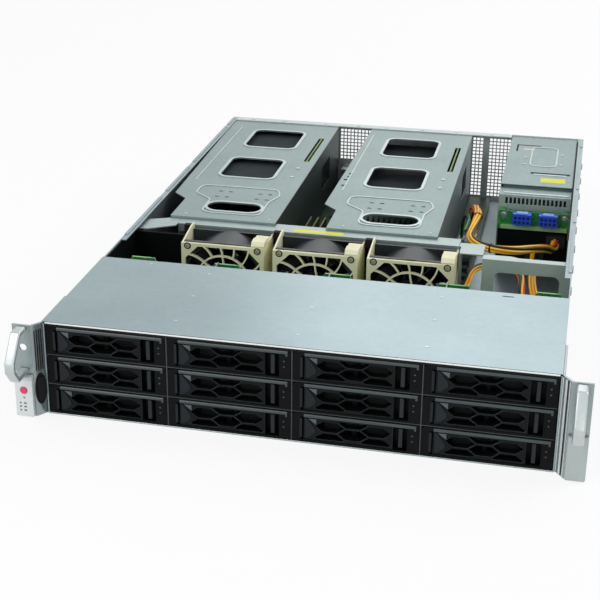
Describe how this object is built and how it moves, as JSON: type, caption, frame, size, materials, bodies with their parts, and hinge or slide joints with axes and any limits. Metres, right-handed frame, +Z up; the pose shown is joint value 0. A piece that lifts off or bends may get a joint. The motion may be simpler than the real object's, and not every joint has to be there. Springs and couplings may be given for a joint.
{
  "type": "rack server",
  "caption": "Two-unit rack server with its rear lid off: hot-swap drive bays across the front, lift-out fans, riser cages and slide-out power supplies behind.",
  "frame": {"origin": "on the resting plane, under the middle of the whole machine's width and depth", "axes": "X across the width, to the right seen from the drive bays; Y front to back, the bays face -Y; Z up"},
  "size_m": [0.4826, 0.71, 0.088],
  "materials": {
    "galvanised": "dull zinc-plated sheet",
    "front_cover": "satin zinc-plated sheet",
    "ear_grey": "satin",
    "tray_black": "fine matt",
    "lever_black": "satin",
    "release_grey": "satin",
    "board_green": "solder-masked board",
    "fan_cream": "satin",
    "fan_black": "matt",
    "beam_steel": "zinc-plated sheet",
    "riser_steel": "zinc-plated sheet",
    "supply_steel": "zinc-plated sheet",
    "wire_yellow": "extruded insulation",
    "button_pink": "gloss"
  },
  "bodies": {
    "chassis": {"chassis_tray": "galvanised", "rear_panel": "galvanised", "front_cover": "front_cover", "drive_cage": "galvanised", "backplane": "board_green", "left_ear": "ear_grey", "right_ear": "ear_grey", "fan_beam": "beam_steel", "side_bracket": "riser_steel", "riser_cage_left": "riser_steel", "riser_cage_middle": "riser_steel", "main_board": "board_green", "supply_cage": "supply_steel", "power_board": "board_green", "wire_harness": "wire_yellow"},
    "power_button": {"power_button": "button_pink"},
    "supply_upper": {"supply_upper": "supply_steel"},
    "supply_lower": {"supply_lower": "supply_steel"},
    "bay_01": {"drive_tray_01": "tray_black"},
    "lever_01": {"tray_lever_01": "lever_black"},
    "release_01": {"tray_release_01": "release_grey"},
    "bay_02": {"drive_tray_02": "tray_black"},
    "lever_02": {"tray_lever_02": "lever_black"},
    "release_02": {"tray_release_02": "release_grey"},
    "bay_03": {"drive_tray_03": "tray_black"},
    "lever_03": {"tray_lever_03": "lever_black"},
    "release_03": {"tray_release_03": "release_grey"},
    "bay_04": {"drive_tray_04": "tray_black"},
    "lever_04": {"tray_lever_04": "lever_black"},
    "release_04": {"tray_release_04": "release_grey"},
    "bay_05": {"drive_tray_05": "tray_black"},
    "lever_05": {"tray_lever_05": "lever_black"},
    "release_05": {"tray_release_05": "release_grey"},
    "bay_06": {"drive_tray_06": "tray_black"},
    "lever_06": {"tray_lever_06": "lever_black"},
    "release_06": {"tray_release_06": "release_grey"},
    "bay_07": {"drive_tray_07": "tray_black"},
    "lever_07": {"tray_lever_07": "lever_black"},
    "release_07": {"tray_release_07": "release_grey"},
    "bay_08": {"drive_tray_08": "tray_black"},
    "lever_08": {"tray_lever_08": "lever_black"},
    "release_08": {"tray_release_08": "release_grey"},
    "bay_09": {"drive_tray_09": "tray_black"},
    "lever_09": {"tray_lever_09": "lever_black"},
    "release_09": {"tray_release_09": "release_grey"},
    "bay_10": {"drive_tray_10": "tray_black"},
    "lever_10": {"tray_lever_10": "lever_black"},
    "release_10": {"tray_release_10": "release_grey"},
    "bay_11": {"drive_tray_11": "tray_black"},
    "lever_11": {"tray_lever_11": "lever_black"},
    "release_11": {"tray_release_11": "release_grey"},
    "bay_12": {"drive_tray_12": "tray_black"},
    "lever_12": {"tray_lever_12": "lever_black"},
    "release_12": {"tray_release_12": "release_grey"},
    "fan_1": {"fan_module_1": "fan_cream"},
    "rotor_1": {"fan_rotor_1": "fan_black"},
    "fan_2": {"fan_module_2": "fan_cream"},
    "rotor_2": {"fan_rotor_2": "fan_black"},
    "fan_3": {"fan_module_3": "fan_cream"},
    "rotor_3": {"fan_rotor_3": "fan_black"}
  },
  "joints": [
    {"name": "bay_slide_01", "type": "slide", "parent": "chassis", "child": "bay_01", "axis": [0, -1, 0], "range_m": [0, 0.17]},
    {"name": "lever_hinge_01", "type": "hinge", "parent": "bay_01", "child": "lever_01", "pos_m": [-0.20395, -0.3104, 0.07055], "axis": [0, 0, -1], "range_deg": [0, 60]},
    {"name": "release_press_01", "type": "slide", "parent": "bay_01", "child": "release_01", "axis": [0, 1, 0], "range_m": [0, 0.002], "stiffness_N_per_m": 900, "springref_m": -0.001},
    {"name": "bay_slide_02", "type": "slide", "parent": "chassis", "child": "bay_02", "axis": [0, -1, 0], "range_m": [0, 0.17]},
    {"name": "lever_hinge_02", "type": "hinge", "parent": "bay_02", "child": "lever_02", "pos_m": [-0.09605, -0.3104, 0.07055], "axis": [0, 0, -1], "range_deg": [0, 60]},
    {"name": "release_press_02", "type": "slide", "parent": "bay_02", "child": "release_02", "axis": [0, 1, 0], "range_m": [0, 0.002], "stiffness_N_per_m": 900, "springref_m": -0.001},
    {"name": "bay_slide_03", "type": "slide", "parent": "chassis", "child": "bay_03", "axis": [0, -1, 0], "range_m": [0, 0.17]},
    {"name": "lever_hinge_03", "type": "hinge", "parent": "bay_03", "child": "lever_03", "pos_m": [0.01185, -0.3104, 0.07055], "axis": [0, 0, -1], "range_deg": [0, 60]},
    {"name": "release_press_03", "type": "slide", "parent": "bay_03", "child": "release_03", "axis": [0, 1, 0], "range_m": [0, 0.002], "stiffness_N_per_m": 900, "springref_m": -0.001},
    {"name": "bay_slide_04", "type": "slide", "parent": "chassis", "child": "bay_04", "axis": [0, -1, 0], "range_m": [0, 0.17]},
    {"name": "lever_hinge_04", "type": "hinge", "parent": "bay_04", "child": "lever_04", "pos_m": [0.11975, -0.3104, 0.07055], "axis": [0, 0, -1], "range_deg": [0, 60]},
    {"name": "release_press_04", "type": "slide", "parent": "bay_04", "child": "release_04", "axis": [0, 1, 0], "range_m": [0, 0.002], "stiffness_N_per_m": 900, "springref_m": -0.001},
    {"name": "bay_slide_05", "type": "slide", "parent": "chassis", "child": "bay_05", "axis": [0, -1, 0], "range_m": [0, 0.17]},
    {"name": "lever_hinge_05", "type": "hinge", "parent": "bay_05", "child": "lever_05", "pos_m": [-0.20395, -0.3104, 0.04255], "axis": [0, 0, -1], "range_deg": [0, 60]},
    {"name": "release_press_05", "type": "slide", "parent": "bay_05", "child": "release_05", "axis": [0, 1, 0], "range_m": [0, 0.002], "stiffness_N_per_m": 900, "springref_m": -0.001},
    {"name": "bay_slide_06", "type": "slide", "parent": "chassis", "child": "bay_06", "axis": [0, -1, 0], "range_m": [0, 0.17]},
    {"name": "lever_hinge_06", "type": "hinge", "parent": "bay_06", "child": "lever_06", "pos_m": [-0.09605, -0.3104, 0.04255], "axis": [0, 0, -1], "range_deg": [0, 60]},
    {"name": "release_press_06", "type": "slide", "parent": "bay_06", "child": "release_06", "axis": [0, 1, 0], "range_m": [0, 0.002], "stiffness_N_per_m": 900, "springref_m": -0.001},
    {"name": "bay_slide_07", "type": "slide", "parent": "chassis", "child": "bay_07", "axis": [0, -1, 0], "range_m": [0, 0.17]},
    {"name": "lever_hinge_07", "type": "hinge", "parent": "bay_07", "child": "lever_07", "pos_m": [0.01185, -0.3104, 0.04255], "axis": [0, 0, -1], "range_deg": [0, 60]},
    {"name": "release_press_07", "type": "slide", "parent": "bay_07", "child": "release_07", "axis": [0, 1, 0], "range_m": [0, 0.002], "stiffness_N_per_m": 900, "springref_m": -0.001},
    {"name": "bay_slide_08", "type": "slide", "parent": "chassis", "child": "bay_08", "axis": [0, -1, 0], "range_m": [0, 0.17]},
    {"name": "lever_hinge_08", "type": "hinge", "parent": "bay_08", "child": "lever_08", "pos_m": [0.11975, -0.3104, 0.04255], "axis": [0, 0, -1], "range_deg": [0, 60]},
    {"name": "release_press_08", "type": "slide", "parent": "bay_08", "child": "release_08", "axis": [0, 1, 0], "range_m": [0, 0.002], "stiffness_N_per_m": 900, "springref_m": -0.001},
    {"name": "bay_slide_09", "type": "slide", "parent": "chassis", "child": "bay_09", "axis": [0, -1, 0], "range_m": [0, 0.17]},
    {"name": "lever_hinge_09", "type": "hinge", "parent": "bay_09", "child": "lever_09", "pos_m": [-0.20395, -0.3104, 0.01455], "axis": [0, 0, -1], "range_deg": [0, 60]},
    {"name": "release_press_09", "type": "slide", "parent": "bay_09", "child": "release_09", "axis": [0, 1, 0], "range_m": [0, 0.002], "stiffness_N_per_m": 900, "springref_m": -0.001},
    {"name": "bay_slide_10", "type": "slide", "parent": "chassis", "child": "bay_10", "axis": [0, -1, 0], "range_m": [0, 0.17]},
    {"name": "lever_hinge_10", "type": "hinge", "parent": "bay_10", "child": "lever_10", "pos_m": [-0.09605, -0.3104, 0.01455], "axis": [0, 0, -1], "range_deg": [0, 60]},
    {"name": "release_press_10", "type": "slide", "parent": "bay_10", "child": "release_10", "axis": [0, 1, 0], "range_m": [0, 0.002], "stiffness_N_per_m": 900, "springref_m": -0.001},
    {"name": "bay_slide_11", "type": "slide", "parent": "chassis", "child": "bay_11", "axis": [0, -1, 0], "range_m": [0, 0.17]},
    {"name": "lever_hinge_11", "type": "hinge", "parent": "bay_11", "child": "lever_11", "pos_m": [0.01185, -0.3104, 0.01455], "axis": [0, 0, -1], "range_deg": [0, 60]},
    {"name": "release_press_11", "type": "slide", "parent": "bay_11", "child": "release_11", "axis": [0, 1, 0], "range_m": [0, 0.002], "stiffness_N_per_m": 900, "springref_m": -0.001},
    {"name": "bay_slide_12", "type": "slide", "parent": "chassis", "child": "bay_12", "axis": [0, -1, 0], "range_m": [0, 0.17]},
    {"name": "lever_hinge_12", "type": "hinge", "parent": "bay_12", "child": "lever_12", "pos_m": [0.11975, -0.3104, 0.01455], "axis": [0, 0, -1], "range_deg": [0, 60]},
    {"name": "release_press_12", "type": "slide", "parent": "bay_12", "child": "release_12", "axis": [0, 1, 0], "range_m": [0, 0.002], "stiffness_N_per_m": 900, "springref_m": -0.001},
    {"name": "fan_lift_1", "type": "slide", "parent": "chassis", "child": "fan_1", "axis": [0, 0, 1], "range_m": [0, 0.09]},
    {"name": "rotor_spin_1", "type": "hinge", "parent": "fan_1", "child": "rotor_1", "pos_m": [-0.1195, -0.0695, 0.0414], "axis": [0, 1, 0], "continuous": true},
    {"name": "fan_lift_2", "type": "slide", "parent": "chassis", "child": "fan_2", "axis": [0, 0, 1], "range_m": [0, 0.09]},
    {"name": "rotor_spin_2", "type": "hinge", "parent": "fan_2", "child": "rotor_2", "pos_m": [-0.0266, -0.0695, 0.0414], "axis": [0, 1, 0], "continuous": true},
    {"name": "fan_lift_3", "type": "slide", "parent": "chassis", "child": "fan_3", "axis": [0, 0, 1], "range_m": [0, 0.09]},
    {"name": "rotor_spin_3", "type": "hinge", "parent": "fan_3", "child": "rotor_3", "pos_m": [0.0663, -0.0695, 0.0414], "axis": [0, 1, 0], "continuous": true},
    {"name": "supply_slide_upper", "type": "slide", "parent": "chassis", "child": "supply_upper", "axis": [0, 1, 0], "range_m": [0, 0.19]},
    {"name": "supply_slide_lower", "type": "slide", "parent": "chassis", "child": "supply_lower", "axis": [0, 1, 0], "range_m": [0, 0.19]},
    {"name": "power_button_press", "type": "slide", "parent": "chassis", "child": "power_button", "axis": [0, 1, 0], "range_m": [0, 0.0012], "stiffness_N_per_m": 900, "springref_m": -0.0006}
  ]
}
